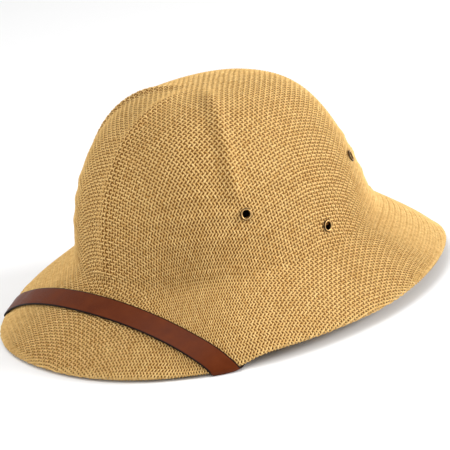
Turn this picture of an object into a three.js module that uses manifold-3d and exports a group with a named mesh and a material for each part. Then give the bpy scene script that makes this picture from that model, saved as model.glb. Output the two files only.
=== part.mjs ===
// A pith helmet moulded from woven straw, with a leather strap over the front of its brim.
// Millimetres, +Z up. The wearer faces -Y, and the wearer's left is +X.
// The origin is on the ground that the hat rests on, midway between its front and its back.

import * as THREE from "three";
import { mergeVertices } from "three/addons/utils/BufferGeometryUtils.js";
import Module from "manifold-3d";

const wasm = await Module();
wasm.setup();

// Driving dimensions

const WALL = 2;
const GAP = 0.3;
const CROWN_AXIS_Y = -4;
const CROWN_TOP = 143.6;

// The hat's profile to the front, to each side and to the back, measured at the middle of the wall.
// crownReach and brimReach go from the crown's axis to the crown's foot and to the brim's edge.
// dome and shoulder are the exponents of the crown's curve.
// outline is the exponent of the brim's edge seen from above: 2 is an ellipse, more is squarer.
// From the front, the brim's edge rises to the side's height over the degrees of edgeRise.
// At the back, cornerLift raises the edge halfway round to the side.
const PROFILES = {
  front: {
    crownReach: 103.5,
    brimReach: 161.5,
    footHeight: 37.7,
    edgeHeight: 2.6,
    dome: 2.15,
    shoulder: 3.01,
    outline: 2.2,
    edgeRise: { from: 40, to: 64 },
  },
  side: {
    crownReach: 90.5,
    brimReach: 132.6,
    footHeight: 43.6,
    edgeHeight: 8.6,
    dome: 1.57,
    shoulder: 3.49,
  },
  back: {
    crownReach: 114.5,
    brimReach: 169.5,
    footHeight: 42.9,
    edgeHeight: 0.7,
    dome: 0.5,
    shoulder: 4.76,
    outline: 1.85,
    cornerLift: 5.2,
  },
};

// The brim falls in a straight slope and curls down towards its edge.
// share is the part of its drop that comes from the curl.
const CURL = { share: 0.11, power: 5 };

// How much of the crown's travel and of the brim's travel the rounded crease between them takes.
const CREASE = { crown: 0.055, brim: 0.14 };

// Raised ribs that run down the crown, at the front and on both sides. Each rises over a distance
// from the top, and fades between two heights above the ground.
const RIB_HEIGHT = 1.8;
const RIB_SPREAD = 4.5;
const RIB_START = { from: 4, to: 18 };
const RIBS = [
  { angle: 0, gone: 38, full: 52 },
  { angle: 59.5, gone: 83, full: 97 },
  { angle: -59.5, gone: 83, full: 97 },
];

// Vent eyelets on the wearer's left. Each has a twin on the right.
// seat is from the middle of the wall to each flange, and clears the curved straw.
const EYELETS = [
  { name: "front", angle: 62, height: 79.5 },
  { name: "side", angle: 95, height: 56 },
  { name: "rear", angle: 126, height: 84.5 },
];
const EYELET = {
  bore: 2.6,
  barrel: 3,
  flange: 3.95,
  clench: 3.8,
  seat: 1.4,
  crest: 0.85,
  clenchDepth: 0.6,
  sides: 14,
};

// The strap's middle line seen from above is an arc. Its tails go on from the rim under the brim.
// slant is how far a tail goes along the rim for each millimetre that it goes under the brim.
// lift is its clearance from the straw, and covers the difference between their facets.
const STRAP = {
  thickness: 1.2,
  lift: 0.5,
  planWidth: 13.5,
  middleY: -122.65,
  arcRadius: 470,
  tail: 20,
  slant: 1,
};

// Each end of the strap pulls the brim's edge down where it wraps round it, so that the brim
// bulges a little before its edge.
const PULL = { depth: 3.15, bulge: 1, power: 4, angle: 53, spread: 4.4 };

// Counts that set how fine the facets are
const COLUMNS = 90;
const CROWN_ROWS = 16;
const BRIM_ROWS = 6;
const CROWDING = 1.5;
const FOLD_STEPS = 4;
const FIRST_RING = 0.015;

const DEGREES = Math.PI / 180;
const NUDGE = 1e-4;

// The hood's surface, at the middle of its wall

function signedPower(base, exponent) {
  return Math.sign(base) * Math.abs(base) ** exponent;
}

// The angle is between half a turn each way.
function edgeHeightAt(angle) {
  const { front, side, back } = PROFILES;
  if (Math.cos(angle) >= 0) {
    const { from, to } = front.edgeRise;
    const share = THREE.MathUtils.smoothstep(Math.abs(angle) / DEGREES, from, to);
    return THREE.MathUtils.lerp(front.edgeHeight, side.edgeHeight, share);
  }
  const height = THREE.MathUtils.lerp(side.edgeHeight, back.edgeHeight, Math.cos(angle) ** 2);
  return height + back.cornerLift * Math.sin(2 * angle) ** 2;
}

// The profile in one direction: a blend of the side's profile and the front's or the back's.
function profileAt(angle) {
  const end = Math.cos(angle) >= 0 ? PROFILES.front : PROFILES.back;
  const share = Math.cos(angle) ** 2;
  const blend = (key) => PROFILES.side[key] + (end[key] - PROFILES.side[key]) * share;
  return {
    end,
    footHeight: blend("footHeight"),
    edgeHeight: edgeHeightAt(angle),
    dome: blend("dome"),
    shoulder: blend("shoulder"),
  };
}

// travel runs from 0 at the top of the crown to 1 at its foot.
function crownPoint(angle, travel) {
  const profile = profileAt(angle);
  const rise = Math.cos((travel * Math.PI) / 2);
  const reach = (1 - rise ** profile.dome) ** (1 / profile.shoulder);
  return new THREE.Vector3(
    PROFILES.side.crownReach * reach * Math.sin(angle),
    CROWN_AXIS_Y - profile.end.crownReach * reach * Math.cos(angle),
    profile.footHeight + (CROWN_TOP - profile.footHeight) * rise,
  );
}

// How far the strap's ends raise or lower the brim.
function strapPull(angle, travel) {
  const away = Math.abs(angle) / DEGREES - PULL.angle;
  const rise = PULL.bulge * travel - (PULL.bulge + PULL.depth) * travel ** PULL.power;
  return rise * Math.exp(-0.5 * (away / PULL.spread) ** 2);
}

// travel runs from 0 at the crown's foot to 1 at the brim's edge.
function brimPoint(angle, travel) {
  const profile = profileAt(angle);
  const foot = crownPoint(angle, 1);
  const power = 2 / profile.end.outline;
  const curl = travel ** CURL.power;
  const drop = foot.z - profile.edgeHeight;
  const edgeX = PROFILES.side.brimReach * signedPower(Math.sin(angle), power);
  const edgeY = CROWN_AXIS_Y - profile.end.brimReach * signedPower(Math.cos(angle), power);
  return new THREE.Vector3(
    THREE.MathUtils.lerp(foot.x, edgeX, travel),
    THREE.MathUtils.lerp(foot.y, edgeY, travel),
    foot.z - drop * (travel + CURL.share * (curl - travel)) + strapPull(angle, travel),
  );
}

// travel runs from 0 at the top through 1 at the crown's foot to 2 at the brim's edge.
function hoodPoint(angle, travel) {
  if (travel < 1 - CREASE.crown) return crownPoint(angle, travel);
  if (travel > 1 + CREASE.brim) return brimPoint(angle, travel - 1);
  const above = crownPoint(angle, 1 - CREASE.crown);
  const beyond = brimPoint(angle, CREASE.brim);
  const round = new THREE.QuadraticBezierCurve3(above, crownPoint(angle, 1), beyond);
  return round.getPoint((travel - 1 + CREASE.crown) / (CREASE.crown + CREASE.brim));
}

// How far the ribs raise the hood at a point of its surface.
function ribRelief(point) {
  const y = point.y - CROWN_AXIS_Y;
  let relief = 0;
  for (const rib of RIBS) {
    const angle = rib.angle * DEGREES;
    const line = new THREE.Vector2(
      PROFILES.side.crownReach * Math.sin(angle),
      -PROFILES.front.crownReach * Math.cos(angle),
    ).normalize();
    const along = point.x * line.x + y * line.y;
    const across = point.x * line.y - y * line.x;
    const start = THREE.MathUtils.smoothstep(along, RIB_START.from, RIB_START.to);
    const end = THREE.MathUtils.smoothstep(point.z, rib.gone, rib.full);
    const bump = RIB_HEIGHT * start * end * Math.exp(-0.5 * (across / RIB_SPREAD) ** 2);
    relief = Math.max(relief, bump);
  }
  return relief;
}

// A point on the hood's skin, or lifted clear of it. turn is 0 on the outer face, a quarter turn
// at the nose of the brim's edge, and half a turn on the inner face.
function skinPoint(angle, travel, turn, lift) {
  const point = hoodPoint(angle, travel);
  const down = hoodPoint(angle, travel + NUDGE).sub(hoodPoint(angle, Math.max(travel - NUDGE, 0)));
  const around = hoodPoint(angle + NUDGE, travel).sub(hoodPoint(angle - NUDGE, travel));
  const normal = travel > 0 ? down.cross(around).normalize() : new THREE.Vector3(0, 0, 1);
  const outward = around.clone().cross(normal).normalize();
  const distance = WALL / 2 + lift;
  const height = ribRelief(point) + distance * Math.cos(turn);
  return point.addScaledVector(normal, height).addScaledVector(outward, distance * Math.sin(turn));
}

// Meshes and solids

// A closed skin of rings with the same number of points each. A first or last ring of one point
// closes the skin there; otherwise its ring is filled with a fan about its first point.
function ringsToGeometry(rings) {
  const positions = rings.flat().flatMap((point) => point.toArray());
  const faces = [];
  let start = 0;
  for (let i = 0; i + 1 < rings.length; i++) {
    const here = rings[i].length;
    const next = rings[i + 1].length;
    const count = Math.max(here, next);
    for (let j = 0; j < count; j++) {
      const a = start + (j % here);
      const b = start + ((j + 1) % here);
      const c = start + here + (j % next);
      const d = start + here + ((j + 1) % next);
      if (next > 1) faces.push(a, c, d);
      if (here > 1) faces.push(a, d, b);
    }
    start += here;
  }
  const geometry = new THREE.BufferGeometry();
  geometry.setAttribute("position", new THREE.Float32BufferAttribute(positions, 3));
  geometry.setIndex(faces);
  return geometry;
}

function toSolid(geometry) {
  geometry.deleteAttribute("normal");
  geometry.deleteAttribute("uv");
  const merged = mergeVertices(geometry);
  const vertProperties = merged.getAttribute("position").array;
  const triVerts = new Uint32Array(merged.index.array);
  return new wasm.Manifold(new wasm.Mesh({ numProp: 3, vertProperties, triVerts }));
}

function fromSolid(solid) {
  const { vertProperties, triVerts } = solid.getMesh();
  const geometry = new THREE.BufferGeometry();
  geometry.setAttribute("position", new THREE.BufferAttribute(vertProperties, 3));
  geometry.setIndex(new THREE.BufferAttribute(triVerts, 1));
  return geometry;
}

function namedMesh(name, geometry, material) {
  geometry.computeVertexNormals();
  const mesh = new THREE.Mesh(geometry, material);
  mesh.name = name;
  return mesh;
}

// The straw hood

function hoodRing(travel, turn) {
  const column = (k) => ((k / COLUMNS) * 2 - 1) * Math.PI;
  return Array.from({ length: COLUMNS }, (_, k) => skinPoint(column(k), travel, turn, 0));
}

// The travel of each ring from the top down. The inner face needs only every second one.
// The brim's rings lie closer together towards its edge, where it curls.
function ringTravels(step) {
  const last = 1 - CREASE.crown;
  const travels = [FIRST_RING];
  for (let i = step; i < CROWN_ROWS; i += step) travels.push((last * i) / CROWN_ROWS);
  for (const part of [0, 0.25, 0.5, 0.75]) travels.push(last + part * (CREASE.crown + CREASE.brim));
  for (let i = BRIM_ROWS; i > 0; i -= step) {
    travels.push(2 - (1 - CREASE.brim) * (i / BRIM_ROWS) ** CROWDING);
  }
  travels.push(2);
  return travels;
}

function hoodGeometry() {
  const rings = [[skinPoint(0, 0, 0, 0)]];
  for (const travel of ringTravels(1)) rings.push(hoodRing(travel, 0));
  for (let i = 1; i < FOLD_STEPS; i++) rings.push(hoodRing(2, (i * Math.PI) / FOLD_STEPS));
  for (const travel of ringTravels(2).reverse()) rings.push(hoodRing(travel, Math.PI));
  rings.push([skinPoint(0, 0, Math.PI, 0)]);
  return ringsToGeometry(rings);
}

// The rim and the strap are pressed flat where they meet the ground.
function flattened(solid) {
  const depth = 10;
  const size = 4 * PROFILES.back.brimReach;
  const box = new THREE.BoxGeometry(size, size, depth);
  box.translate(0, 0, -depth / 2);
  return solid.subtract(toSolid(box));
}

function hoodMesh(material) {
  let solid = flattened(toSolid(hoodGeometry()));
  for (const seat of eyeletSeats()) {
    const radius = EYELET.barrel + GAP;
    const hole = new THREE.CylinderGeometry(radius, radius, 5 * WALL, EYELET.sides);
    solid = solid.subtract(toSolid(hole.applyMatrix4(seat.matrix)));
  }
  return namedMesh("straw_hood", fromSolid(solid), material);
}

// The eyelets

// Where each eyelet sits: at the middle of the wall, with its own Y axis square to the wall.
function eyeletSeats() {
  const seats = [];
  for (const row of EYELETS) {
    for (const [side, sign] of [["left", 1], ["right", -1]]) {
      const angle = sign * row.angle * DEGREES;
      const foot = profileAt(angle).footHeight;
      const travel = Math.acos((row.height - foot) / (CROWN_TOP - foot)) / (Math.PI / 2);
      const outside = skinPoint(angle, travel, 0, 0);
      const inside = skinPoint(angle, travel, Math.PI, 0);
      const axis = outside.clone().sub(inside).normalize();
      const turn = new THREE.Quaternion().setFromUnitVectors(new THREE.Vector3(0, 1, 0), axis);
      const middle = outside.add(inside).multiplyScalar(0.5);
      const matrix = new THREE.Matrix4().compose(middle, turn, new THREE.Vector3(1, 1, 1));
      seats.push({ name: "eyelet_" + row.name + "_" + side, matrix });
    }
  }
  return seats;
}

// A rolled flange outside, a barrel through the wall, and a clenched flange inside.
function eyeletGeometry() {
  const { bore, barrel, flange, clench, seat, crest, clenchDepth, sides } = EYELET;
  const profile = [
    [bore, -seat - 0.4 * clenchDepth],
    [0.7 * bore + 0.3 * clench, -seat - clenchDepth],
    [clench, -seat - 0.7 * clenchDepth],
    [clench, -seat],
    [barrel, -seat],
    [barrel, seat],
    [flange, seat],
    [flange, seat + 0.45 * crest],
    [0.35 * bore + 0.65 * flange, seat + 0.95 * crest],
    [0.75 * bore + 0.25 * flange, seat + crest],
    [bore, seat + 0.6 * crest],
    [bore, -seat - 0.4 * clenchDepth],
  ].map(([radius, height]) => new THREE.Vector2(radius, height));
  return new THREE.LatheGeometry(profile, sides);
}

function eyeletMesh(seat, material) {
  const mesh = namedMesh(seat.name, eyeletGeometry(), material);
  seat.matrix.decompose(mesh.position, mesh.quaternion, mesh.scale);
  return mesh;
}

// The strap

// The root of a function that changes sign once between low and high.
function bisect(f, low, high) {
  const sign = Math.sign(f(low));
  for (let i = 0; i < 50; i++) {
    const middle = (low + high) / 2;
    if (Math.sign(f(middle)) === sign) low = middle;
    else high = middle;
  }
  return (low + high) / 2;
}

// The y of a strap line at x. lane runs from -1 at the strap's front edge to 1 at its back edge.
function strapY(x, lane) {
  return STRAP.middleY + (x * x) / (2 * STRAP.arcRadius) + (lane * STRAP.planWidth) / 2;
}

// The angle at which a strap line meets the brim's edge, on the wearer's left.
function strapEdgeAngle(lane) {
  const miss = (angle) => {
    const edge = brimPoint(angle, 1);
    return edge.y - strapY(edge.x, lane);
  };
  return bisect(miss, 20 * DEGREES, 80 * DEGREES);
}

// The angle and the travel of the brim's point that lies over x and y, on the wearer's left.
function brimCoordinates(x, y) {
  const target = new THREE.Vector2(x, y);
  const flat = (point) => new THREE.Vector2(point.x, point.y);
  const line = (angle) => {
    const foot = flat(brimPoint(angle, 0));
    return { toEdge: flat(brimPoint(angle, 1)).sub(foot), toTarget: target.clone().sub(foot) };
  };
  const miss = (angle) => {
    const { toEdge, toTarget } = line(angle);
    return toEdge.cross(toTarget);
  };
  const angle = bisect(miss, -NUDGE, 80 * DEGREES);
  const { toEdge, toTarget } = line(angle);
  return { angle, travel: 1 + toTarget.dot(toEdge) / toEdge.lengthSq() };
}

// One line of the strap as skin coordinates, from the middle of the brim to the end under it.
function strapHalfLine(lane) {
  const topSteps = 16;
  const tuckSteps = 3;
  const edgeAngle = strapEdgeAngle(lane);
  const edge = brimPoint(edgeAngle, 1);
  const middle = brimPoint(strapEdgeAngle(0), 1);
  const rimRun = brimPoint(edgeAngle + NUDGE, 1).distanceTo(edge) / NUDGE;
  const brimRun = brimPoint(edgeAngle, 0).distanceTo(edge);
  const line = [];
  for (let i = 0; i < topSteps; i++) {
    const x = (edge.x * i) / topSteps;
    line.push({ ...brimCoordinates(x, strapY(x, lane)), turn: 0 });
  }
  const foldLength = Math.PI * (WALL / 2 + STRAP.lift);
  for (let i = 0; i <= FOLD_STEPS; i++) {
    const along = (STRAP.slant * foldLength * i) / FOLD_STEPS;
    line.push({ angle: edgeAngle + along / rimRun, travel: 2, turn: (i * Math.PI) / FOLD_STEPS });
  }
  const tail = STRAP.tail + middle.x - edge.x;
  for (let i = 1; i <= tuckSteps; i++) {
    const under = (tail * i) / tuckSteps / Math.hypot(1, STRAP.slant);
    const along = STRAP.slant * (foldLength + under);
    line.push({ angle: edgeAngle + along / rimRun, travel: 2 - under / brimRun, turn: Math.PI });
  }
  return line;
}

function strapGeometry() {
  const lanes = [-1, -0.5, 0, 0.5, 1].map((lane) => {
    const left = strapHalfLine(lane);
    const right = left.slice(1).map((spot) => ({ ...spot, angle: -spot.angle }));
    return [...right.reverse(), ...left];
  });
  const face = (lift, i) =>
    lanes.map((line) => skinPoint(line[i].angle, line[i].travel, line[i].turn, lift));
  const outer = STRAP.lift + STRAP.thickness;
  const rings = lanes[0].map((_, i) => [...face(outer, i), ...face(STRAP.lift, i).reverse()]);
  const middle = (ring) => ring.reduce((sum, point) => sum.add(point), new THREE.Vector3());
  const first = middle(rings[0]).divideScalar(rings[0].length);
  const last = middle(rings.at(-1)).divideScalar(rings[0].length);
  return ringsToGeometry([[first], ...rings, [last]]);
}

// Materials and assembly

const straw = new THREE.MeshStandardMaterial({ color: 0xc9a368, roughness: 0.85, metalness: 0 });
const leather = new THREE.MeshStandardMaterial({ color: 0x5a2a18, roughness: 0.5, metalness: 0 });
const brass = new THREE.MeshStandardMaterial({ color: 0x6b5430, roughness: 0.4, metalness: 1 });

const helmet = new THREE.Group();
helmet.add(hoodMesh(straw));
helmet.add(namedMesh("brim_strap", fromSolid(flattened(toSolid(strapGeometry()))), leather));
for (const seat of eyeletSeats()) helmet.add(eyeletMesh(seat, brass));

export default helmet;
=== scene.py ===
import math

import bpy
import numpy as np
from mathutils import Matrix, Vector

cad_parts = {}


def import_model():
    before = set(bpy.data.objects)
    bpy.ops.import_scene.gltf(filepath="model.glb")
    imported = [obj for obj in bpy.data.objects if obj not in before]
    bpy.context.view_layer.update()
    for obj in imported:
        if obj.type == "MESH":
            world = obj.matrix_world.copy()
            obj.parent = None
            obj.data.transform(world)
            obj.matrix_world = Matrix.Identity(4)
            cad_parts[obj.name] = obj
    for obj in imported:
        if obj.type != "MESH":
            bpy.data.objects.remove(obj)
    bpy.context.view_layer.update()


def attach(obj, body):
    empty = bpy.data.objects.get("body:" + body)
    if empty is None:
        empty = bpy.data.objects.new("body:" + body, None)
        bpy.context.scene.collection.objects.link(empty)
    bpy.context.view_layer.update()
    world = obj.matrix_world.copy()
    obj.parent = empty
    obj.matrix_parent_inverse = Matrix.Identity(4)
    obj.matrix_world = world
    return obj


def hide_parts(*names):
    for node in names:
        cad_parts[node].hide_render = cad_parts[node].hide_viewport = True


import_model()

# A pith helmet woven from paper straw twine, with a leather strap over its brim and brass eyelets.
# Sizes are in millimetres until a mesh is made. +Z is up and the wearer faces -Y.

MM = 0.001
DEGREES = math.pi / 180

# A small step of angle or travel, for slopes, and a guard against dividing by nothing
NUDGE = 1e-4
TINY = 1e-9

# Sizes shared with the CAD model

WALL = 2.0
CROWN_AXIS_Y = -4.0
CROWN_TOP = 143.6
FRONT = {
    "crown_reach": 103.5,
    "brim_reach": 161.5,
    "foot_height": 37.7,
    "edge_height": 2.6,
    "dome": 2.15,
    "shoulder": 3.01,
    "outline": 2.2,
    "edge_rise": (40, 64),
}
SIDE = {
    "crown_reach": 90.5,
    "brim_reach": 132.6,
    "foot_height": 43.6,
    "edge_height": 8.6,
    "dome": 1.57,
    "shoulder": 3.49,
}
BACK = {
    "crown_reach": 114.5,
    "brim_reach": 169.5,
    "foot_height": 42.9,
    "edge_height": 0.7,
    "dome": 0.5,
    "shoulder": 4.76,
    "outline": 1.85,
    "corner_lift": 5.2,
}
CURL_SHARE = 0.11
CURL_POWER = 5
CREASE_ON_CROWN = 0.055
CREASE_ON_BRIM = 0.14
PULL = {"depth": 3.15, "bulge": 1.0, "power": 4, "angle": 53, "spread": 4.4}

EYELET_SPOTS = (
    {"name": "front", "angle": 62, "height": 79.5},
    {"name": "side", "angle": 95, "height": 56},
    {"name": "rear", "angle": 126, "height": 84.5},
)
EYELET_BORE = 2.6
EYELET_BARREL = 3.0
EYELET_FLANGE = 3.95
EYELET_CLENCH = 3.8

STRAP = {
    "thickness": 1.2,
    "lift": 0.5,
    "plan_width": 13.5,
    "middle_y": -122.65,
    "arc_radius": 470.0,
    "tail": 20.0,
    "slant": 1.0,
}

# The eyelets' fit in the wall. The CAD model's facets are coarser, so its flanges lie further out,
# with crests as high as these, and its holes are wider.

EYELET_SEAT = 1.05
EYELET_CREST = 1.2
EYELET_HOLE = 3.1

# How far from the middle of the wall a thread or the sheet of painted shade is still cut by an
# eyelet's hole
EYELET_CUT = 3 * WALL

# Relief of the moulded cloth. The ribs run where the CAD model's do, but are narrower and higher
# and start more gradually. Faint rings run round the crown at some heights.

RIBS = (
    {"angle": 0, "gone": 38, "full": 52, "height": 2.3},
    {"angle": 59.5, "gone": 83, "full": 97, "height": 2.9},
    {"angle": -59.5, "gone": 83, "full": 97, "height": 2.9},
)
RIB_SPREAD = 3.2
RIB_START = (4.0, 44.0)
RING_SPREAD = 1.7
RINGS = (
    {"height": 47, "relief": 1.2},
    {"height": 68, "relief": 0.8},
    {"height": 82, "relief": 0.9},
    {"height": 94, "relief": 0.8},
)

# The weave. A link is the distance between two crossings along a thread.
# Moulding pulls the cloth longer on the diagonals, by BIAS_STRETCH at most.

SIDE_LINK = 2.31
END_LINK = 2.38
BIAS_STRETCH = 0.05
TWINE_HALF_WIDTH = 0.63
TWINE_HALF_HEIGHT = 0.36
TWIST_LENGTH = 1.6
WAVE_HEIGHT = 0.38
FLOAT_HALF_LENGTH = 0.27

# Each thread's twist starts anywhere along a twine of this length.
TWINE_LENGTH = 1000

# Where threads cross at a slant they are narrower, down to this share of their width.
LEAST_WIDTH = 0.5

# The cloth's edge is turned under round a nose of this radius, and pressed flatter there.
HEM_WIDTH = 7.0
HEM_NOSE = 0.75
HEM_BLEND = 5.0
HEM_PRESSING = 0.35

# How uneven the threads are: by one amount all along, and by one that changes over reach bends.
WANDER = {"whole": 0.03, "local": 0.05, "reach": 12}
SLUB = {"whole": 0.02, "local": 0.06, "reach": 5}
TONE = {"whole": 0.08, "local": 0.16, "reach": 3}
WAVE_CHANGE = 0.06
WAVE_REACH = 3

# What a point on the wearer's left is multiplied by to give the one on the right
MIRROR = (-1.0, 1.0, 1.0)

# The hood's surface at the middle of its wall, for arrays of angles and travels.
# travel is 0 at the top, 1 at the crown's foot and 2 at the brim's edge.


def signed_power(base, exponent):
    return np.sign(base) * np.abs(base) ** exponent


def end_value(key, angle):
    return np.where(np.cos(angle) >= 0, FRONT[key], BACK[key])


def blended(key, angle):
    return SIDE[key] + (end_value(key, angle) - SIDE[key]) * np.cos(angle) ** 2


def smoothstep(value, low, high):
    share = np.clip((value - low) / (high - low), 0, 1)
    return share * share * (3 - 2 * share)


def crown_point(angle, travel):
    foot = blended("foot_height", angle)
    rise = np.cos(travel * math.pi / 2)
    fall = 1 - np.maximum(rise, 0) ** blended("dome", angle)
    reach = np.maximum(fall, 0) ** (1 / blended("shoulder", angle))
    x = SIDE["crown_reach"] * reach * np.sin(angle)
    y = CROWN_AXIS_Y - end_value("crown_reach", angle) * reach * np.cos(angle)
    return np.stack([x, y, foot + (CROWN_TOP - foot) * rise], -1)


def degrees_from_front(angle):
    return np.abs((angle / DEGREES + 180) % 360 - 180)


def edge_height(angle):
    share = smoothstep(degrees_from_front(angle), *FRONT["edge_rise"])
    front = FRONT["edge_height"] + (SIDE["edge_height"] - FRONT["edge_height"]) * share
    back = SIDE["edge_height"] + (BACK["edge_height"] - SIDE["edge_height"]) * np.cos(angle) ** 2
    back = back + BACK["corner_lift"] * np.sin(2 * angle) ** 2
    return np.where(np.cos(angle) >= 0, front, back)


def strap_pull(angle, travel):
    turned = degrees_from_front(angle) - PULL["angle"]
    rise = PULL["bulge"] * travel - (PULL["bulge"] + PULL["depth"]) * travel ** PULL["power"]
    return rise * np.exp(-0.5 * (turned / PULL["spread"]) ** 2)


def brim_within(angle, travel):
    """travel is 0 at the crown's foot and 1 at the edge."""
    foot = crown_point(angle, np.ones_like(travel))
    power = 2 / end_value("outline", angle)
    drop = foot[..., 2] - edge_height(angle)
    fall = travel + CURL_SHARE * (travel**CURL_POWER - travel)
    edge_x = SIDE["brim_reach"] * signed_power(np.sin(angle), power)
    edge_y = CROWN_AXIS_Y - end_value("brim_reach", angle) * signed_power(np.cos(angle), power)
    x = foot[..., 0] + (edge_x - foot[..., 0]) * travel
    y = foot[..., 1] + (edge_y - foot[..., 1]) * travel
    return np.stack([x, y, foot[..., 2] - drop * fall + strap_pull(angle, travel)], -1)


def brim_point(angle, travel):
    """As brim_within, and straight on past the edge."""
    edge = np.ones_like(travel)
    slope = (brim_within(angle, edge) - brim_within(angle, edge - NUDGE)) / NUDGE
    past = np.maximum(travel - 1, 0)[..., None]
    return brim_within(angle, np.minimum(travel, 1)) + slope * past


def hood_point(angle, travel):
    angle, travel = np.broadcast_arrays(np.asarray(angle, float), np.asarray(travel, float))
    whole = np.ones_like(travel)
    crown = crown_point(angle, np.clip(travel, 0, 1 - CREASE_ON_CROWN))
    brim = brim_point(angle, np.maximum(travel - 1, CREASE_ON_BRIM))
    share = (travel - 1 + CREASE_ON_CROWN) / (CREASE_ON_CROWN + CREASE_ON_BRIM)
    share = np.clip(share, 0, 1)[..., None]
    above = crown_point(angle, whole - CREASE_ON_CROWN)
    beyond = brim_point(angle, whole * CREASE_ON_BRIM)
    bend = (1 - share) ** 2 * above + share**2 * beyond
    bend = bend + 2 * share * (1 - share) * crown_point(angle, whole)
    point = np.where((travel < 1 - CREASE_ON_CROWN)[..., None], crown, bend)
    return np.where((travel > 1 + CREASE_ON_BRIM)[..., None], brim, point)


def unit(vectors):
    length = np.linalg.norm(vectors, axis=-1, keepdims=True)
    return vectors / np.maximum(length, TINY)


def skin_axes(angle, travel):
    """The outward normal and the direction down the slope at points of the surface."""
    low = np.maximum(travel - NUDGE, 0)
    down = hood_point(angle, travel + NUDGE) - hood_point(angle, low)
    around = hood_point(angle + NUDGE, travel) - hood_point(angle - NUDGE, travel)
    normal = unit(np.cross(down, around))
    at_top = (travel < TINY)[..., None]
    normal = np.where(at_top, [0.0, 0.0, 1.0], normal)
    return normal, unit(down)


def moulded_relief(points):
    """How far the ribs and the rings stand out at points of the surface."""
    y = points[..., 1] - CROWN_AXIS_Y
    relief = np.zeros(points.shape[:-1])
    for rib in RIBS:
        angle = rib["angle"] * DEGREES
        line_x = SIDE["crown_reach"] * math.sin(angle)
        line_y = -FRONT["crown_reach"] * math.cos(angle)
        length = math.hypot(line_x, line_y)
        along = (points[..., 0] * line_x + y * line_y) / length
        across = (points[..., 0] * line_y - y * line_x) / length
        start = smoothstep(along, *RIB_START)
        end = smoothstep(points[..., 2], rib["gone"], rib["full"])
        bump = rib["height"] * start * end * np.exp(-0.5 * (across / RIB_SPREAD) ** 2)
        relief = np.maximum(relief, bump)
    for ring in RINGS:
        away = (points[..., 2] - ring["height"]) / RING_SPREAD
        relief = relief + ring["relief"] * np.exp(-0.5 * away**2)
    return relief


# The net of crossings. One flat woven cloth is laid over the hood from the top of the crown, so
# that crossings stay evenly spaced along each thread while the threads shear past each other.
# The net is worked out for the wearer's left, and mirrored.

MOST_STEPS = 125
MOST_TRAVEL = 2.25
PROFILE_POINTS = 4001

# Nearer the top than this travel, a crossing's first guess comes from the crown's plan, and from
# no more than this share of the crown's reach.
NEAR_TOP = 0.4
PLAN_REACH = 0.9

# Newton's method: its rounds, its longest steps of angle and travel, and how large a miss, in
# square millimetres, ends it or drops the crossing.
MEET_ROUNDS = 12
MOST_TURN = 0.2
MOST_SLIDE = 0.1
CLOSE_MISS = 1e-5
WIDE_MISS = 0.02


def even_travels(angle, link):
    """Travels of points one link apart down one profile."""
    travel = np.linspace(0, MOST_TRAVEL, PROFILE_POINTS)
    points = hood_point(np.full_like(travel, angle), travel)
    steps = np.linalg.norm(np.diff(points, axis=0), axis=1)
    length = np.concatenate([[0], np.cumsum(steps)])
    return np.interp(np.arange(MOST_STEPS) * link, length, travel, right=np.nan)


def first_guess(corner, near, angle, travel, end_angle):
    """Skin coordinates near corner, from those of three neighbours: two beside it and one behind."""
    ends = FRONT if math.cos(end_angle) > 0 else BACK
    beside_a, beside_b, behind = near
    plan_x = corner[:, 0] / SIDE["crown_reach"]
    plan_y = (CROWN_AXIS_Y - corner[:, 1]) / ends["crown_reach"]
    by_plan = np.arctan2(plan_x, plan_y)
    reach = np.minimum(np.hypot(plan_x, plan_y), PLAN_REACH)
    rise = (1 - reach ** blended("shoulder", by_plan)) ** (1 / blended("dome", by_plan))
    far = travel[behind] > NEAR_TOP
    guess_travel = travel[beside_a] + travel[beside_b] - travel[behind]
    guess_angle = angle[beside_a] + angle[beside_b] - angle[behind]
    guess_travel = np.where(far, guess_travel, np.arccos(rise) * 2 / math.pi)
    return np.where(far, guess_angle, by_plan), guess_travel


def meet(from_a, from_b, link_a, link_b, angle, travel):
    """The point on the skin at link_a from from_a and link_b from from_b, by Newton's method."""
    for _ in range(MEET_ROUNDS):
        point = hood_point(angle, travel)
        by_angle = (hood_point(angle + NUDGE, travel) - point) / NUDGE
        by_travel = (hood_point(angle, travel + NUDGE) - point) / NUDGE
        miss_a = ((point - from_a) ** 2).sum(1) - link_a**2
        miss_b = ((point - from_b) ** 2).sum(1) - link_b**2
        if max(np.abs(miss_a).max(), np.abs(miss_b).max()) < CLOSE_MISS:
            break
        aa = 2 * ((point - from_a) * by_angle).sum(1)
        at = 2 * ((point - from_a) * by_travel).sum(1)
        ba = 2 * ((point - from_b) * by_angle).sum(1)
        bt = 2 * ((point - from_b) * by_travel).sum(1)
        whole = aa * bt - at * ba
        whole = np.where(np.abs(whole) < TINY, TINY, whole)
        turn = (miss_a * bt - miss_b * at) / whole
        slide = (aa * miss_b - ba * miss_a) / whole
        angle = angle - np.clip(turn, -MOST_TURN, MOST_TURN)
        travel = np.maximum(travel - np.clip(slide, -MOST_SLIDE, MOST_SLIDE), NUDGE)
    missed = np.maximum(np.abs(miss_a), np.abs(miss_b)) > WIDE_MISS
    travel = np.where(missed | (travel > MOST_TRAVEL), np.nan, travel)
    return np.where(np.isnan(travel), np.nan, angle), travel


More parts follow.
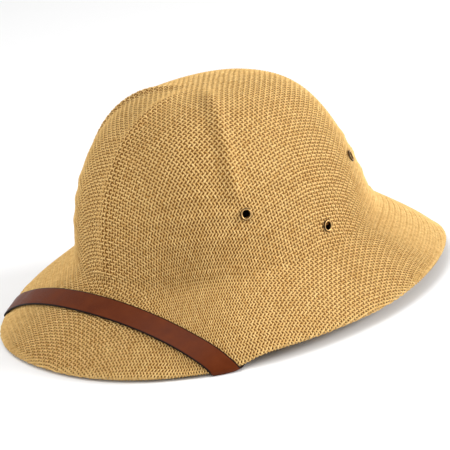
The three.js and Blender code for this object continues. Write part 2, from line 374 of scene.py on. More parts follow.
def quarter_net(end_angle):
    """Skin coordinates of crossings, by steps to the side and steps to the front or the back."""
    angle = np.full((MOST_STEPS, MOST_STEPS), np.nan)
    travel = np.full((MOST_STEPS, MOST_STEPS), np.nan)
    angle[:, 0] = math.pi / 2
    travel[:, 0] = even_travels(math.pi / 2, SIDE_LINK)
    angle[0, :] = end_angle
    travel[0, :] = even_travels(end_angle, END_LINK)
    point = hood_point(angle, np.nan_to_num(travel))
    point[np.isnan(travel)] = np.nan
    for total in range(2, 2 * MOST_STEPS - 1):
        i = np.arange(max(1, total - MOST_STEPS + 1), min(MOST_STEPS - 1, total - 1) + 1)
        j = total - i
        known = ~np.isnan(travel[i - 1, j] + travel[i, j - 1] + travel[i - 1, j - 1])
        i, j = i[known], j[known]
        if len(i) == 0:
            continue
        near = (i - 1, j), (i, j - 1), (i - 1, j - 1)
        corner = point[near[0]] + point[near[1]] - point[near[2]]
        guess = first_guess(corner, near, angle, travel, end_angle)
        stretch = 1 + BIAS_STRETCH * np.sin(2 * guess[0]) ** 4
        found = meet(point[near[0]], point[near[1]], SIDE_LINK * stretch, END_LINK * stretch, *guess)
        angle[i, j], travel[i, j] = found
        point[i, j] = np.where(np.isnan(found[1])[:, None], np.nan, hood_point(*found))
    return angle, travel


def half_net():
    """The crossings on the wearer's left. Rows run from the front to the back, and columns from
    the middle to the side."""
    front = quarter_net(0.0)
    back = quarter_net(math.pi)
    return [np.concatenate([f.T[:0:-1], b.T]) for f, b in zip(front, back)]


class Net:
    """Crossings of the whole hood. Rows run from the front to the back, columns from right to
    left. beyond is the distance past the brim's edge, and below 0 within it. openness is the
    sine of the angle at which the threads cross."""

    def __init__(self):
        angle, travel = half_net()
        known = ~np.isnan(travel)
        angle = np.where(known, angle, 0.0)
        travel = np.where(known, travel, 0.0)
        point = hood_point(angle, travel)
        normal, outward = skin_axes(angle, np.minimum(travel, 2 - 2 * NUDGE))
        point = point + normal * moulded_relief(point)[..., None]
        edge = np.full_like(travel, 1.0)
        slope = (brim_within(angle, edge) - brim_within(angle, edge - NUDGE)) / NUDGE
        beyond = (travel - 2) * np.linalg.norm(slope, axis=-1)
        hem_end = math.pi * HEM_NOSE + HEM_WIDTH
        self.known = self.whole(known & (beyond < hem_end))
        self.point = self.whole(point, mirror=True)
        self.normal = self.whole(normal, mirror=True)
        self.outward = self.whole(outward, mirror=True)
        self.beyond = self.whole(beyond)
        by_row, by_column = np.gradient(self.point, axis=(0, 1))
        self.openness = np.linalg.norm(np.cross(unit(by_row), unit(by_column)), axis=-1)

    def line(self, axis, place):
        """Everything along one row, for axis 0, or along one column, for axis 1."""
        return {name: np.take(values, place, axis) for name, values in vars(self).items()}

    def whole(self, half, mirror=False):
        """Values on both sides of the middle. mirror is for vectors."""
        other = half[:, :0:-1]
        if mirror:
            other = other * MIRROR
        return np.concatenate([other, half], axis=1)


# Threads

rng = np.random.default_rng(seed=12)


def smooth_noise(count, reach):
    """Random values of about unit size that change slowly over reach places."""
    kernel = np.hanning(2 * reach + 3)[1:-1]
    kernel = kernel / np.sqrt((kernel**2).sum())
    return np.convolve(rng.standard_normal(count + 2 * reach), kernel, "valid")


def uneven(count, kind):
    """How much count places along one thread depart from even."""
    whole = kind["whole"] * rng.standard_normal()
    return whole + kind["local"] * smooth_noise(count, kind["reach"])


def runs_of(known):
    """The first and the last place of each unbroken stretch of two or more known places."""
    places = np.flatnonzero(known)
    if len(places) == 0:
        return []
    parts = np.split(places, np.flatnonzero(np.diff(places) > 1) + 1)
    return [(part[0], part[-1]) for part in parts if len(part) > 1]


def layered(point, normal, outward, beyond):
    """Places on the middle of the cloth, whose edge is turned under along the brim's edge."""
    lift = HEM_NOSE * smoothstep(beyond, -HEM_BLEND, 0)
    turn = np.clip(beyond / HEM_NOSE, 0, math.pi)
    edge = point - outward * np.maximum(beyond, 0)[:, None]
    back = np.maximum(beyond - math.pi * HEM_NOSE, 0)
    place = edge + outward * (HEM_NOSE * np.sin(turn) - back)[:, None]
    place = place + normal * (lift * np.cos(turn))[:, None]
    face = normal * np.cos(turn)[:, None] + outward * np.sin(turn)[:, None]
    return place, unit(face)


def stations(first, last):
    """Where a thread bends: the crossing before each bend, and the share of the link after it."""
    links = np.arange(first, last)
    bends = np.tile([FLOAT_HALF_LENGTH, 1 - FLOAT_HALF_LENGTH], len(links))
    start = np.concatenate([[first], np.repeat(links, 2), [last - 1]])
    return start, np.concatenate([[0.0], bends, [1.0]])


def between(values, start, share):
    """Values at shares of the way from each start to the next crossing."""
    share = share.reshape(-1, *[1] * (values.ndim - 1))
    return values[start] + (values[start + 1] - values[start]) * share


class Sections:
    """Cross sections along one thread: where its middle is, which way is out, and its size. over
    is even where the thread passes over crossings with even places."""

    def __init__(self, line, first, last, over):
        start, share = stations(first, last)
        count = len(share)
        beyond = between(line["beyond"], start, share)
        point = between(line["point"], start, share)
        normal = unit(between(line["normal"], start, share))
        outward = unit(between(line["outward"], start, share))
        middle, out = layered(point, normal, outward, beyond)
        crossing = start + (share > 0.5)
        rises = np.where((crossing + over) % 2 == 0, 1.0, -1.0)
        wave = WAVE_HEIGHT * (1 - HEM_PRESSING * smoothstep(beyond, -HEM_BLEND, 0))
        wave = wave * (1 + WAVE_CHANGE * smooth_noise(count, WAVE_REACH))
        wander = uneven(count, WANDER)
        slub = 1 + SLUB["whole"] * rng.standard_normal()
        slub = slub * (1 + SLUB["local"] * smooth_noise(count, SLUB["reach"]))
        self.out = out
        self.across = unit(np.cross(out, np.gradient(middle, axis=0)))
        self.middle = middle + out * (rises * wave)[:, None] + self.across * wander[:, None]
        squeeze = np.clip(between(line["openness"], start, share), LEAST_WIDTH, 1)
        self.half_width = TWINE_HALF_WIDTH * slub * squeeze
        lengths = np.linalg.norm(np.diff(self.middle, axis=0), axis=1)
        self.along = np.concatenate([[0], np.cumsum(lengths)]) + TWINE_LENGTH * rng.random()
        self.tone = np.clip(0.5 + uneven(count, TONE), 0, 1)

    def part(self, first, last):
        """A copy of the stretch from first to last."""
        copy = object.__new__(Sections)
        for name, values in vars(self).items():
            setattr(copy, name, values[first : last + 1].copy())
        return copy


def eyelet_seats():
    """Where each eyelet sits: its name, the middle of the wall there and the way out."""
    seats = []
    for spot in EYELET_SPOTS:
        for side, sign in (("left", 1), ("right", -1)):
            angle = np.array(sign * spot["angle"] * DEGREES)
            foot = float(blended("foot_height", angle))
            rise = (spot["height"] - foot) / (CROWN_TOP - foot)
            travel = np.array(math.acos(rise) * 2 / math.pi)
            normal, _ = skin_axes(angle, travel)
            point = hood_point(angle, travel)
            point = point + normal * moulded_relief(point)
            seats.append(("eyelet_" + spot["name"] + "_" + side, point, normal))
    return seats


def from_axis(points, seat, axis):
    """How far points are from an eyelet's axis, as vectors and as lengths, and how far along it."""
    offset = points - seat
    height = offset @ axis
    flat = offset - height[:, None] * axis
    return flat, np.linalg.norm(flat, axis=1), height


def cut_at_holes(thread, seats):
    """The thread's stretches that stay outside the eyelets' barrels."""
    parts = [thread]
    for _, seat, axis in seats:
        kept = []
        for part in parts:
            _, reach, height = from_axis(part.middle, seat, axis)
            inside = (reach < EYELET_BARREL) & (np.abs(height) < EYELET_CUT)
            if not inside.any():
                kept.append(part)
                continue
            places = np.flatnonzero(inside)
            first, last = places[0], places[-1]
            if first > 0:
                before = part.part(0, first)
                clamp_to_hole(before, -1, -2, reach[first], reach[first - 1])
                kept.append(before)
            if last < len(reach) - 1:
                after = part.part(last, len(reach) - 1)
                clamp_to_hole(after, 0, 1, reach[last], reach[last + 1])
                kept.append(after)
        parts = kept
    return [part for part in parts if len(part.tone) > 1]


def clamp_to_hole(thread, end, neighbour, reach_inside, reach_outside):
    """Draw the thread's end back from within the hole to the barrel's outside."""
    share = (EYELET_BARREL - reach_inside) / max(reach_outside - reach_inside, TINY)
    there = thread.middle[neighbour]
    thread.middle[end] = thread.middle[end] + (there - thread.middle[end]) * share


def all_threads(net, seats):
    """Threads that run across the hood, from the front one to the back one, and threads that run
    from the front to the back, from the right one to the left one."""
    across, along = [], []
    rows, columns = net.known.shape
    for row in range(rows):
        for first, last in runs_of(net.known[row]):
            thread = Sections(net.line(0, row), first, last, row)
            across.extend(cut_at_holes(thread, seats))
    for column in range(columns):
        for first, last in runs_of(net.known[:, column]):
            thread = Sections(net.line(1, column), first, last, column + 1)
            along.extend(cut_at_holes(thread, seats))
    return across, along


# Meshes


def mesh_object(name, vertices, faces, material):
    """faces is an array of four corners each, or a list of faces."""
    mesh = bpy.data.meshes.new(name)
    if isinstance(faces, np.ndarray):
        mesh.vertices.add(len(vertices))
        mesh.vertices.foreach_set("co", (np.asarray(vertices) * MM).astype(np.float32).ravel())
        mesh.loops.add(faces.size)
        mesh.loops.foreach_set("vertex_index", faces.astype(np.int32).ravel())
        mesh.polygons.add(len(faces))
        starts = np.arange(0, faces.size, faces.shape[1], dtype=np.int32)
        mesh.polygons.foreach_set("loop_start", starts)
        mesh.update(calc_edges=True)
    else:
        mesh.from_pydata([tuple(v * MM) for v in np.asarray(vertices)], [], faces)
    mesh.polygons.foreach_set("use_smooth", [True] * len(mesh.polygons))
    mesh.materials.append(material)
    mesh.validate()
    thing = bpy.data.objects.new(name, mesh)
    bpy.context.scene.collection.objects.link(thing)
    return thing


def give_vectors(thing, name, values):
    """A vector for each vertex, which a material reads by name."""
    attribute = thing.data.attributes.new(name, "FLOAT_VECTOR", "POINT")
    attribute.data.foreach_set("vector", values.astype(np.float32).ravel())


def give_numbers(thing, name, values):
    """A number for each vertex, which a material reads by name."""
    attribute = thing.data.attributes.new(name, "FLOAT", "POINT")
    attribute.data.foreach_set("value", values.astype(np.float32).ravel())


# Threads that the hat's weight presses on the ground stay this far above it.
LEAST_HEIGHT = 0.05

# The share of a turn at each of a thread's corners: outer, one side, inner, other side
AROUND = (0.5, 0.75, 1.0, 0.25)


def thread_tubes(name, threads, material):
    """One mesh of four-sided tubes with closed ends."""
    vertices, faces, marks = [], [], []
    start = 0
    for thread in threads:
        wide = thread.across * thread.half_width[:, None]
        high = thread.out * TWINE_HALF_HEIGHT
        ring = np.stack([high, wide, -high, -wide], axis=1)
        points = thread.middle[:, None] + ring
        points[..., 2] = np.maximum(points[..., 2], LEAST_HEIGHT)
        count = len(thread.tone)
        vertices.append(points.reshape(-1, 3))
        around = np.tile(AROUND, (count, 1))
        along = np.repeat(thread.along[:, None], 4, 1)
        tone = np.repeat(thread.tone[:, None], 4, 1)
        marks.append(np.stack([along, around, tone], -1).reshape(-1, 3))
        ring_start = start + 4 * np.arange(count - 1)[:, None]
        k = np.arange(4)[None]
        here, following = ring_start + k, ring_start + (k + 1) % 4
        faces.append(np.stack([here, following, following + 4, here + 4], -1).reshape(-1, 4))
        last = start + 4 * (count - 1)
        faces.append(np.array([[start + 3, start + 2, start + 1, start]]))
        faces.append(np.array([[last, last + 1, last + 2, last + 3]]))
        start += 4 * count
    thing = mesh_object(name, np.concatenate(vertices), np.concatenate(faces), material)
    give_vectors(thing, "twine", np.concatenate(marks))
    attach(thing, "root")
    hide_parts("straw_hood")


# The painted shade between the threads is one dark sheet, from the top of the crown to just within the
# edge.
SHEET_COLUMNS = 240
SHEET_ROWS = 130
SHEET_LAST = 1.993


def sheet_with_holes(place, faces, seats):
    """The sheet's points and faces, with a round hole where each eyelet sits."""
    for _, seat, axis in seats:
        flat, reach, height = from_axis(place, seat, axis)
        near = (reach < EYELET_HOLE) & (np.abs(height) < EYELET_CUT)
        faces = faces[~near[faces].all(axis=1)]
        moved = seat + flat * (EYELET_HOLE / np.maximum(reach, TINY))[:, None]
        moved = moved + axis * height[:, None]
        place = np.where(near[:, None], moved, place)
    return place, faces


def hole_shade_sheet(seats, material):
    """A brown sheet of painted shade between the threads, in the middle of the wall."""
    angles = 2 * math.pi * np.arange(SHEET_COLUMNS) / SHEET_COLUMNS
    travels = SHEET_LAST * (np.arange(SHEET_ROWS) + 1) / SHEET_ROWS
    angle, travel = np.meshgrid(angles, travels)
    point = hood_point(angle, travel)
    normal, _ = skin_axes(angle, travel)
    point = point + normal * moulded_relief(point)[..., None]
    i = np.arange(SHEET_ROWS - 1)[:, None] * SHEET_COLUMNS
    k = np.arange(SHEET_COLUMNS)[None]
    following = (k + 1) % SHEET_COLUMNS
    below = SHEET_COLUMNS
    faces = np.stack([i + k, i + k + below, i + following + below, i + following], -1)
    place, faces = sheet_with_holes(point.reshape(-1, 3), faces.reshape(-1, 4), seats)
    top = np.array([[0.0, CROWN_AXIS_Y, CROWN_TOP]])
    place = np.concatenate([place, top])
    last = len(place) - 1
    fan = [(last, int(n), int((n + 1) % SHEET_COLUMNS)) for n in range(SHEET_COLUMNS)]
    faces = [tuple(int(v) for v in face) for face in faces] + fan
    thing = mesh_object("straw_hole_shade", place, faces, material)
    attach(thing, "root")
    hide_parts("straw_hood")


def in_groups(threads, count):
    """The threads in count groups of about the same size, in order."""
    sizes = np.cumsum([len(thread.tone) for thread in threads])
    group = np.minimum((sizes - 1) * count // sizes[-1], count - 1)
    return [[t for t, g in zip(threads, group) if g == n] for n in range(count)]


# Materials


def colour(red, green, blue):
    """A colour given as it looks on a screen, 0 to 255, for a shader's socket."""
    shares = [c / 255 for c in (red, green, blue)]
    linear = [s / 12.92 if s <= 0.04045 else ((s + 0.055) / 1.055) ** 2.4 for s in shares]
    return (*linear, 1.0)


class Surface:
    """A material, with short ways to add the nodes that feed its shader."""

    def __init__(self, name):
        self.material = bpy.data.materials.new(name)
        self.material.use_nodes = True
        self.nodes = self.material.node_tree.nodes
        self.shader = self.nodes["Principled BSDF"]

    def feed(self, socket, value):
        """Give a socket a number, a colour or another node's output."""
        if isinstance(value, bpy.types.NodeSocket):
            self.material.node_tree.links.new(value, socket)
        else:
            socket.default_value = value

    def set(self, name, value):
        self.feed(self.shader.inputs[name], value)

    def attribute(self, name):
        node = self.nodes.new("ShaderNodeAttribute")
        node.attribute_name = name
        return node

    def number(self, name):
        """The number that each vertex carries."""
        return self.attribute(name).outputs["Fac"]

    def parts(self, name):
        """The three parts of the vector that each vertex carries."""
        split = self.nodes.new("ShaderNodeSeparateXYZ")
        self.feed(split.inputs[0], self.attribute(name).outputs["Vector"])
        return list(split.outputs)

    def noise(self, size, detail):
        """Noise from 0 to 1 that is fixed to the object, with blotches of about size mm."""
        place = self.nodes.new("ShaderNodeTexCoord")
        texture = self.nodes.new("ShaderNodeTexNoise")
        texture.inputs["Scale"].default_value = 1 / (size * MM)
        texture.inputs["Detail"].default_value = detail
        self.feed(texture.inputs["Vector"], place.outputs["Object"])
        return texture.outputs["Fac"]

    def maths(self, operation, *values):
        node = self.nodes.new("ShaderNodeMath")
        node.operation = operation
        for socket, value in zip(node.inputs, values):
            self.feed(socket, value)
        return node.outputs[0]

    def span(self, value, low, high, start=0.0, end=1.0):
        """value from low to high, turned into a value from start to end."""
        node = self.nodes.new("ShaderNodeMapRange")
        for name, number in zip(("From Min", "From Max", "To Min", "To Max"), (low, high, start, end)):
            node.inputs[name].default_value = number
        self.feed(node.inputs["Value"], value)
        return node.outputs["Result"]

    def ramp(self, value, *stops):
        """Colours between stops, each a place from 0 to 1 and a colour."""
        node = self.nodes.new("ShaderNodeValToRGB")
        elements = node.color_ramp.elements
        elements[0].position, elements[0].color = stops[0]
        elements[-1].position, elements[-1].color = stops[-1]
        for place, shade in stops[1:-1]:
            elements.new(place).color = shade
        self.feed(node.inputs["Fac"], value)
        return node.outputs["Color"]

    def mix(self, share, first, second):
        """A colour from first to second, as share goes from 0 to 1."""
        node = self.nodes.new("ShaderNodeMix")
        node.data_type = "RGBA"
        by_name = {socket.identifier: socket for socket in node.inputs}
        self.feed(by_name["Factor_Float"], share)
        self.feed(by_name["A_Color"], first)
        self.feed(by_name["B_Color"], second)
        return next(socket for socket in node.outputs if socket.identifier == "Result_Color")

    def bump(self, height, depth):
        """Relief of depth mm where height goes from 0 to 1."""
        node = self.nodes.new("ShaderNodeBump")
        node.inputs["Distance"].default_value = depth * MM
        self.feed(node.inputs["Height"], height)
        self.set("Normal", node.outputs["Normal"])


def straw_material():
    """Twisted paper twine, with paler and darker lengths and fine fibres."""
    surface = Surface("straw_twine")
    along, around, tone = surface.parts("twine")
    fibre = surface.noise(0.25, 2)
    blotch = surface.maths("MULTIPLY_ADD", tone, 0.5, surface.noise(1.7, 3))
    shade = surface.span(blotch, 0.35, 1.15)
    pale = surface.ramp(shade, (0.0, colour(196, 150, 80)), (1.0, colour(240, 205, 138)))
    surface.set("Base Color", pale)
    turns = surface.maths("MULTIPLY_ADD", along, 1 / TWIST_LENGTH, around)
    strand = surface.maths("PINGPONG", turns, 0.5)
    surface.bump(surface.maths("MULTIPLY_ADD", fibre, 0.4, strand), 0.2)
    surface.set("Roughness", surface.span(fibre, 0.3, 0.7, 0.62, 0.86))
    surface.set("Specular IOR Level", 0.25)
    return surface.material


def hole_shade_material():
    """Painted shade behind the threads, a mottled dark brown."""
    surface = Surface("straw_hole_shade")
    fibre = surface.noise(0.6, 3)
    # This brown is painted shade. It stands for the hat's shaded inside, seen through the gaps between
    # the threads.
    dark = surface.ramp(fibre, (0.3, colour(104, 67, 30)), (0.7, colour(140, 97, 46)))
    surface.set("Base Color", dark)
    surface.bump(fibre, 0.2)
    surface.set("Roughness", 0.9)
    surface.set("Specular IOR Level", 0.1)
    return surface.material


def leather_material():
    """Smooth brown leather with fine pores and dark painted edges."""
    surface = Surface("strap_leather")
    lane = surface.number("lane")
    cloud = surface.noise(9, 3)
    pores = surface.noise(0.35, 2)
    face = surface.ramp(cloud, (0.3, colour(87, 36, 10)), (0.7, colour(99, 44, 15)))
    edge = surface.span(surface.maths("ABSOLUTE", lane), 0.86, 0.93)
    surface.set("Base Color", surface.mix(edge, face, colour(22, 13, 10)))
    surface.bump(surface.maths("MULTIPLY_ADD", cloud, 0.5, pores), 0.06)
    surface.set("Roughness", surface.span(cloud, 0.3, 0.7, 0.34, 0.44))
    surface.set("Specular IOR Level", 0.08)
    return surface.material


def brass_material():
    """Aged brass, bright on the crest, with painted shade darkening the bore and a painted shadow
    round the rim.
    """
    surface = Surface("eyelet_brass")
    place = surface.span(surface.number("radius"), EYELET_BORE, EYELET_FLANGE)
    tarnish = surface.noise(0.8, 3)
    ring_place = surface.maths("MULTIPLY_ADD", tarnish, 0.3, place)
    # Dark at the bore is painted shade and dark round the outer rim is a painted shadow. The crest
    # between them is brightest.
    brass_and_shade = surface.ramp(
        ring_place,
        (0.12, colour(34, 25, 18)),
        (0.36, colour(220, 178, 116)),
        (0.75, colour(176, 140, 88)),
        (1.0, colour(48, 36, 26)),
    )
    surface.set("Base Color", brass_and_shade)
    surface.set("Metallic", 0.85)
    surface.set("Roughness", surface.span(tarnish, 0.3, 0.7, 0.24, 0.42))
    surface.bump(tarnish, 0.05)
    return surface.material


def shade_material():
    """The unlit inside of the hat, as it looks through an eyelet."""
    surface = Surface("eyelet_shade")
    fibre = surface.noise(0.5, 2)
    surface.set("Base Color", surface.ramp(fibre, (0.3, colour(9, 7, 5)), (0.7, colour(20, 15, 11))))
    surface.set("Roughness", 1.0)
    surface.set("Specular IOR Level", 0.0)
    return surface.material


# Eyelets


def lathe(name, profile, sides, material):
    """A closed ring of (radius, height) points turned about the Z axis."""
    profile = np.array(profile)
    turn = 2 * math.pi * np.arange(sides) / sides
    ring_x = profile[None, :, 0] * np.cos(turn)[:, None]
    ring_y = profile[None, :, 0] * np.sin(turn)[:, None]
    ring_z = np.broadcast_to(profile[None, :, 1], ring_x.shape)
    vertices = np.stack([ring_x, ring_y, ring_z], -1).reshape(-1, 3)
    count = len(profile)
    i = np.arange(sides)[:, None]
    j = np.arange(count)[None]
    a = i * count + j
    b = ((i + 1) % sides) * count + j
    c = ((i + 1) % sides) * count + (j + 1) % count
    d = i * count + (j + 1) % count
    faces = np.stack([a, b, c, d], -1).reshape(-1, 4)
    thing = mesh_object(name, vertices, faces, material)
    give_numbers(thing, "radius", np.tile(profile[:, 0], sides))
    return thing


def disc(name, radius, low, high, sides, material):
    """A flat round plate about the Z axis."""
    turn = 2 * math.pi * np.arange(sides) / sides
    rim = [(radius * math.cos(t), radius * math.sin(t)) for t in turn]
    vertices = np.array([(x, y, z) for z in (low, high) for x, y in rim])
    caps = [tuple(range(sides))[::-1], tuple(range(sides, 2 * sides))]
    wall = [(k, (k + 1) % sides, sides + (k + 1) % sides, sides + k) for k in range(sides)]
    return mesh_object(name, vertices, caps + wall, material)


def seat_piece(thing, seat):
    """Move a piece from the Z axis to its place on the crown."""
    name, point, axis = seat
    turn = Vector((0, 0, 1)).rotation_difference(Vector(axis)).to_matrix().to_4x4()
    thing.data.transform(Matrix.Translation(Vector(point * MM)) @ turn)
    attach(thing, "root")
    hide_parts(name)
    return thing


EYELET_SIDES = 48
SHADE_DEPTH = 0.2
SHADE_THICKNESS = 0.3


def eyelet(seat, brass, shade):
    """An eyelet's ring, and a disc of painted shade in its bore, as dark as the unlit inside of
    the hat. The ring's outline runs from the clenched lip inside the hat to the crest outside."""
    name = seat[0]
    top = EYELET_SEAT
    inner = -top - SHADE_DEPTH
    profile = [
        (EYELET_BORE, -top - 0.25),
        (EYELET_BORE + 0.35, -top - 0.6),
        (EYELET_CLENCH - 0.3, -top - 0.6),
        (EYELET_CLENCH, -top - 0.35),
        (EYELET_CLENCH - 0.1, -top),
        (EYELET_BARREL, -top),
        (EYELET_BARREL, top),
        (EYELET_FLANGE - 0.1, top),
        (EYELET_FLANGE, top + 0.2),
        (EYELET_FLANGE - 0.08, top + 0.5),
        (EYELET_FLANGE - 0.35, top + EYELET_CREST - 0.32),
        (EYELET_FLANGE - 0.75, top + EYELET_CREST - 0.2),
        (EYELET_BORE + 0.35, top + EYELET_CREST - 0.3),
        (EYELET_BORE + 0.08, top + EYELET_CREST - 0.6),
        (EYELET_BORE, top + EYELET_CREST - 1.0),
    ]
    ring = lathe(name + "_ring", profile, EYELET_SIDES, brass)
    seat_piece(ring, seat)
    outer = inner + SHADE_THICKNESS
    plate = disc(name + "_shade", EYELET_BORE, inner, outer, EYELET_SIDES, shade)
    seat_piece(plate, seat)


# The strap

BISECT_ROUNDS = 40


def bisect(f, low, high):
    """Roots of f between arrays low and high, where f changes sign once."""
    sign = np.sign(f(low))
    for _ in range(BISECT_ROUNDS):
        middle = (low + high) / 2
        same = np.sign(f(middle)) == sign
        low = np.where(same, middle, low)
        high = np.where(same, high, middle)
    return (low + high) / 2


def strap_y(x, lane):
    """How far back one lane of the strap is, over x from the middle."""
    bow = x * x / (2 * STRAP["arc_radius"])
    return STRAP["middle_y"] + bow + lane * STRAP["plan_width"] / 2


# The strap reaches the brim's edge between these angles from the front, on the wearer's left.
STRAP_ANGLES = (20 * DEGREES, 80 * DEGREES)


def strap_edge_angle(lane):
    """The angle where one lane of the strap reaches the brim's edge."""

    def miss(angle):
        edge = brim_within(angle, np.ones_like(angle))
        return edge[..., 1] - strap_y(edge[..., 0], lane)

    low, high = (angle * np.ones_like(lane) for angle in STRAP_ANGLES)
    return bisect(miss, low, high)


def brim_coordinates(x, y):
    """Angle and travel of the brim's points over x and y, on the wearer's left."""

    def line(angle):
        foot = brim_within(angle, np.zeros_like(angle))[..., :2]
        edge = brim_within(angle, np.ones_like(angle))[..., :2]
        return edge - foot, np.stack([x, y], -1) - foot

    def miss(angle):
        to_edge, to_point = line(angle)
        return to_edge[..., 0] * to_point[..., 1] - to_edge[..., 1] * to_point[..., 0]

    angle = bisect(miss, np.full_like(x, -NUDGE), np.full_like(x, STRAP_ANGLES[1]))
    to_edge, to_point = line(angle)
    return angle, (to_edge * to_point).sum(-1) / (to_edge**2).sum(-1)


STRAP_TOP_STEPS = 60
STRAP_FOLD_STEPS = 14
STRAP_TAIL_STEPS = 10


def strap_half(lane):
    """Skin coordinates down one lane of the strap, from the middle of the brim to its end under
    the brim: angle, travel past the crown's foot, and turn round the edge."""
    edge_angle = strap_edge_angle(np.array([lane]))
    ones = np.ones(1)
    edge = brim_within(edge_angle, ones)[0]
    middle_edge = brim_within(strap_edge_angle(np.array([0.0])), ones)[0]
    rim_run = np.linalg.norm(brim_within(edge_angle + NUDGE, ones)[0] - edge) / NUDGE
    brim_run = np.linalg.norm(brim_within(edge_angle, 0 * ones)[0] - edge)
    x = edge[0] * np.arange(STRAP_TOP_STEPS) / STRAP_TOP_STEPS
    angle, travel = brim_coordinates(x, strap_y(x, lane))
    turn = np.zeros_like(angle)
    fold_length = math.pi * (WALL / 2 + STRAP["lift"])
    share = np.arange(STRAP_FOLD_STEPS + 1) / STRAP_FOLD_STEPS
    fold_angle = edge_angle + STRAP["slant"] * fold_length * share / rim_run
    tail = STRAP["tail"] + middle_edge[0] - edge[0]
    under = tail * np.arange(1, STRAP_TAIL_STEPS + 1) / STRAP_TAIL_STEPS
    under = under / math.hypot(1, STRAP["slant"])
    tail_angle = edge_angle + STRAP["slant"] * (fold_length + under) / rim_run
    angle = np.concatenate([angle, fold_angle, tail_angle])
    travel = np.concatenate([travel, np.ones_like(share), 1 - under / brim_run])
    turn = np.concatenate([turn, math.pi * share, np.full_like(under, math.pi)])
    return angle, travel, turn


def strap_place(angle, travel, turn, lift):
    """Points lifted from the skin, as far out or in as the turn says."""
    point = hood_point(angle, 1 + travel)
    normal, outward = skin_axes(angle, np.minimum(1 + travel, 2 - 2 * NUDGE))
    distance = WALL / 2 + lift
    up = distance * np.cos(turn)
    out = distance * np.sin(turn)
    return point + normal * up[..., None] + outward * out[..., None]


# The strap's cross section: lane from -1 at the front edge to 1 at the back, and the share of its
# thickness, with its edges rounded.
STRAP_SECTION = (
    (-0.8, 1.0), (-0.4, 1.0), (0.0, 1.0), (0.4, 1.0), (0.8, 1.0), (0.93, 0.97), (0.985, 0.85),
    (1.0, 0.6), (1.0, 0.35), (0.985, 0.12), (0.93, 0.0), (0.5, 0.0), (0.0, 0.0), (-0.5, 0.0),
    (-0.93, 0.0), (-0.985, 0.12), (-1.0, 0.35), (-1.0, 0.6), (-0.985, 0.85), (-0.93, 0.97),
)


def strap(material):
    rings = []
    for lane, height in STRAP_SECTION:
        angle, travel, turn = strap_half(lane)
        lift = STRAP["lift"] + STRAP["thickness"] * height
        rings.append(strap_place(angle, travel, turn, lift))
    left = np.stack(rings, axis=1)
    right = left[:0:-1] * MIRROR
    rows = np.concatenate([right, left])
    rows[..., 2] = np.maximum(rows[..., 2], 0.0)
    count = rows.shape[1]
    vertices = rows.reshape(-1, 3)
    i = np.arange(len(rows) - 1)[:, None]
    j = np.arange(count)[None]
    a = i * count + j
    b = i * count + (j + 1) % count
    faces = np.stack([a, b, b + count, a + count], -1).reshape(-1, 4)
    quads = [tuple(int(v) for v in face) for face in faces]
    last = len(vertices) - count
    quads.append(tuple(range(count))[::-1])
    quads.append(tuple(last + k for k in range(count)))
    thing = mesh_object("brim_strap_leather", vertices, quads, material)
    lanes = np.array([lane for lane, _ in STRAP_SECTION])
    give_numbers(thing, "lane", np.tile(lanes, len(rows)))
    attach(thing, "root")
    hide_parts("brim_strap")


# Camera, light and floor. The camera stands as the photograph's did, with a long lens, far off.
# CAMERA_FRAME is the width that it sees at its aim, and it sees CAMERA_SIGHT metres far.

CAMERA_AZIMUTH = 48.51 * DEGREES
CAMERA_ELEVATION = 18.14 * DEGREES
CAMERA_ROLL = 7.62 * DEGREES
CAMERA_DISTANCE = 1500.0
CAMERA_AIM = (0.0, -2.34, 43.6)
CAMERA_FRAME = 301.5
CAMERA_SENSOR = 36
CAMERA_SIGHT = 20
AIM_SHIFT = (0.47, 1.83)


def camera():
    a, e, roll = CAMERA_AZIMUTH, CAMERA_ELEVATION, CAMERA_ROLL
    right = Vector((math.cos(a), math.sin(a), 0))
    back = Vector((math.sin(a) * math.cos(e), -math.cos(a) * math.cos(e), math.sin(e)))
    up = back.cross(right)
    tilted_right = right * math.cos(roll) - up * math.sin(roll)
    tilted_up = right * math.sin(roll) + up * math.cos(roll)
    aim = Vector(CAMERA_AIM) + tilted_right * AIM_SHIFT[0] + tilted_up * AIM_SHIFT[1]
    data = bpy.data.cameras.new("camera")
    data.sensor_width = CAMERA_SENSOR
    data.lens = data.sensor_width * CAMERA_DISTANCE / CAMERA_FRAME
    data.clip_end = CAMERA_SIGHT
    thing = bpy.data.objects.new("camera", data)
    axes = Matrix((tilted_right, tilted_up, back)).transposed().to_4x4()
    place = (aim + back * CAMERA_DISTANCE) * MM
    thing.matrix_world = Matrix.Translation(place) @ axes
    bpy.context.scene.collection.objects.link(thing)
    bpy.context.scene.camera = thing


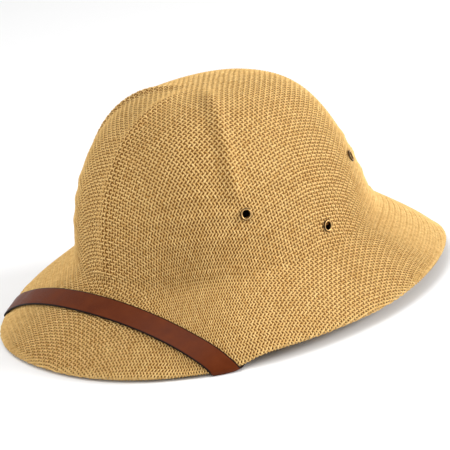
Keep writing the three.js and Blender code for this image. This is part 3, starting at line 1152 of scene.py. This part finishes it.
# Places and sizes of the lights are in metres, and powers in watts.
LIGHTS = (
    {"name": "key_light", "place": (1.6, 1.6, 0.85), "size": 0.9, "power": 56},
    {"name": "top_light", "place": (-0.2, -0.5, 2.0), "size": 1.4, "power": 17},
    {"name": "fill_light", "place": (0.4, -2.2, 1.4), "size": 1.6, "power": 14},
)
LIGHTS_AIM = (0, 0, 0.06)
WORLD_STRENGTH = 0.6


def area_light(light):
    data = bpy.data.lights.new(light["name"], "AREA")
    data.shape = "DISK"
    data.size = light["size"]
    data.energy = light["power"]
    thing = bpy.data.objects.new(light["name"], data)
    thing.location = light["place"]
    toward = Vector(LIGHTS_AIM) - Vector(light["place"])
    thing.rotation_euler = toward.to_track_quat("-Z", "Y").to_euler()
    bpy.context.scene.collection.objects.link(thing)


FLOOR_HALF_WIDTH = 4000.0
FLOOR_GREY = 242


def floor():
    half = FLOOR_HALF_WIDTH
    corners = np.array([[-half, -half, 0], [half, -half, 0], [half, half, 0], [-half, half, 0]])
    surface = Surface("floor_paint")
    surface.set("Base Color", colour(FLOOR_GREY, FLOOR_GREY, FLOOR_GREY))
    surface.set("Roughness", 0.9)
    thing = mesh_object("floor", corners, np.array([[0, 1, 2, 3]]), surface.material)


def world():
    background = bpy.data.worlds.new("studio")
    background.use_nodes = True
    shader = background.node_tree.nodes["Background"]
    shader.inputs["Color"].default_value = (1, 1, 1, 1)
    shader.inputs["Strength"].default_value = WORLD_STRENGTH
    bpy.context.scene.world = background


def studio():
    camera()
    floor()
    world()
    for light in LIGHTS:
        area_light(light)
    bpy.context.scene.view_settings.view_transform = "Standard"


def hood():
    seats = eyelet_seats()
    across, along = all_threads(Net(), seats)
    straw = straw_material()
    for name, group in zip(("front", "middle", "back"), in_groups(across, 3)):
        thread_tubes("weft_" + name, group, straw)
    for name, group in zip(("right", "middle", "left"), in_groups(along, 3)):
        thread_tubes("warp_" + name, group, straw)
    hole_shade_sheet(seats, hole_shade_material())
    brass, shade = brass_material(), shade_material()
    for seat in seats:
        eyelet(seat, brass, shade)


hood()
strap(leather_material())
studio()
